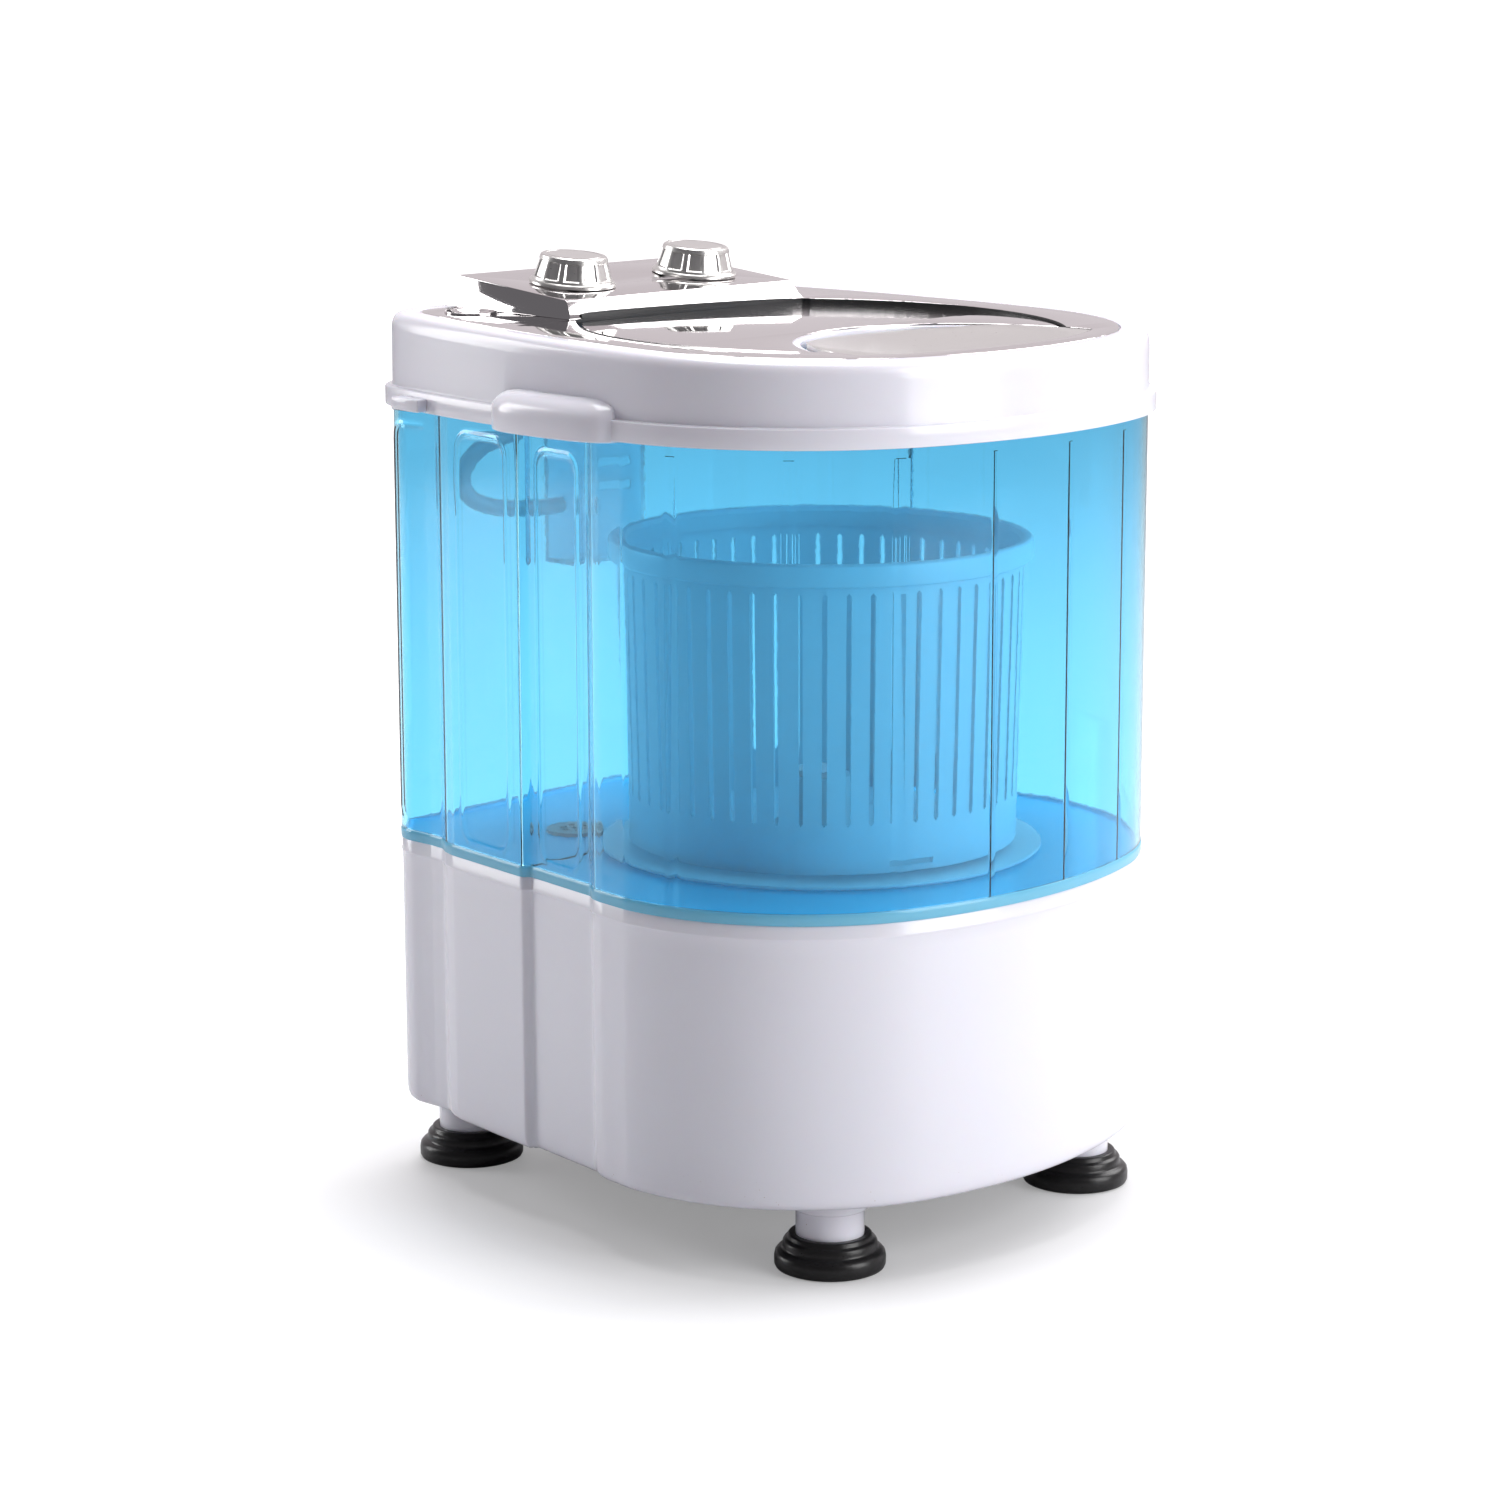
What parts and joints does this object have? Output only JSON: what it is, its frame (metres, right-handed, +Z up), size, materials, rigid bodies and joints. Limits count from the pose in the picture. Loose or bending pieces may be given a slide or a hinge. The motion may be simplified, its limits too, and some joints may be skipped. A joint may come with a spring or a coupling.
{
  "type": "portable top load washing machine",
  "caption": "Portable top load washer: stepped white base on rubber pads, clear blue tub, slotted spin basket, white deck with mirror panel, round lid and timer knobs.",
  "frame": {"origin": "centre of the bottom of the bounding box, on the floor under the feet", "axes": "+Z up, -Y to the front where the finger dish is, +X to the right seen from the front"},
  "size_m": [0.378, 0.3845, 0.5246],
  "materials": {
    "white_plastic": "gloss",
    "tub_plastic": "clear gloss, blue tint",
    "basket_plastic": "satin, frosted",
    "mirror_plastic": "mirror",
    "satin_silver": "satin",
    "black_rubber": "satin",
    "black_plastic": "satin",
    "grey_plastic": "satin",
    "steel": "satin",
    "motor_paint": "satin",
    "bearing_steel": "ground",
    "hose_plastic": "satin"
  },
  "bodies": {
    "cabinet": {"base_shell": "white_plastic", "base_plate": "grey_plastic", "front_left_foot_stem": "white_plastic", "front_right_foot_stem": "white_plastic", "back_left_foot_stem": "white_plastic", "back_right_foot_stem": "white_plastic", "front_left_foot_pad": "black_rubber", "front_right_foot_pad": "black_rubber", "back_left_foot_pad": "black_rubber", "back_right_foot_pad": "black_rubber", "base_plate_screws": "steel", "tub": "tub_plastic", "tub_gasket": "black_rubber", "overflow_box": "tub_plastic", "inlet_cup": "mirror_plastic", "inlet_hose": "hose_plastic", "drain_strainer": "grey_plastic", "drain_pipe": "grey_plastic", "drain_socket": "grey_plastic", "cord_gland": "black_rubber", "top_cover": "white_plastic", "left_grip": "white_plastic", "right_grip": "white_plastic", "hose_hook": "white_plastic", "cover_screws": "steel", "top_panel": "mirror_plastic", "lid_well": "black_plastic", "finger_dish": "satin_silver", "control_console": "mirror_plastic", "wash_timer": "white_plastic", "spin_timer": "white_plastic", "lid_hinge_brackets": "white_plastic", "lid_hinge_pins": "steel", "shaft_seal": "black_rubber", "bearing_housing": "motor_paint", "upper_bearing": "bearing_steel", "lower_bearing": "bearing_steel", "drive_belt": "black_rubber", "motor_body": "motor_paint", "motor_bracket": "steel", "motor_capacitor": "motor_paint", "capacitor_clip": "grey_plastic"},
    "wash_dial": {"wash_knob": "satin_silver", "wash_timer_shaft": "steel"},
    "spin_dial": {"spin_knob": "satin_silver", "spin_timer_shaft": "steel"},
    "lid_leaf": {"lid": "mirror_plastic", "lid_liner": "white_plastic"},
    "drive": {"pulsator": "basket_plastic", "pulsator_cap": "white_plastic", "drive_shaft": "steel", "drive_pulley": "black_plastic"},
    "basket": {"spin_basket": "basket_plastic"},
    "motor_rotor": {"motor_shaft": "steel", "motor_pulley": "steel"}
  },
  "joints": [
    {"name": "lid_hinge", "type": "hinge", "parent": "cabinet", "child": "lid_leaf", "pos_m": [0, 0.07307, 0.48717], "axis": [-1, 0, 0], "range_deg": [0, 80]},
    {"name": "wash_timer_turn", "type": "hinge", "parent": "cabinet", "child": "wash_dial", "pos_m": [-0.049, 0.12268, 0.50581], "axis": [0, -0.1044, 0.9945], "range_deg": [-330, 0]},
    {"name": "spin_timer_turn", "type": "hinge", "parent": "cabinet", "child": "spin_dial", "pos_m": [0.049, 0.12268, 0.50581], "axis": [0, -0.1044, 0.9945], "range_deg": [-300, 0]},
    {"name": "drive_spin", "type": "hinge", "parent": "cabinet", "child": "drive", "pos_m": [0, -0.022, 0.2], "axis": [0, 0, 1], "continuous": true},
    {"name": "basket_lift", "type": "slide", "parent": "drive", "child": "basket", "axis": [0, 0, 1], "range_m": [0, 0.09]},
    {"name": "motor_spin", "type": "hinge", "parent": "cabinet", "child": "motor_rotor", "pos_m": [0, 0.09, 0.15], "axis": [0, 0, 1], "continuous": true}
  ],
  "couplings": [
    {"joint": "motor_spin", "follows": "drive_spin", "ratio": 4}
  ]
}
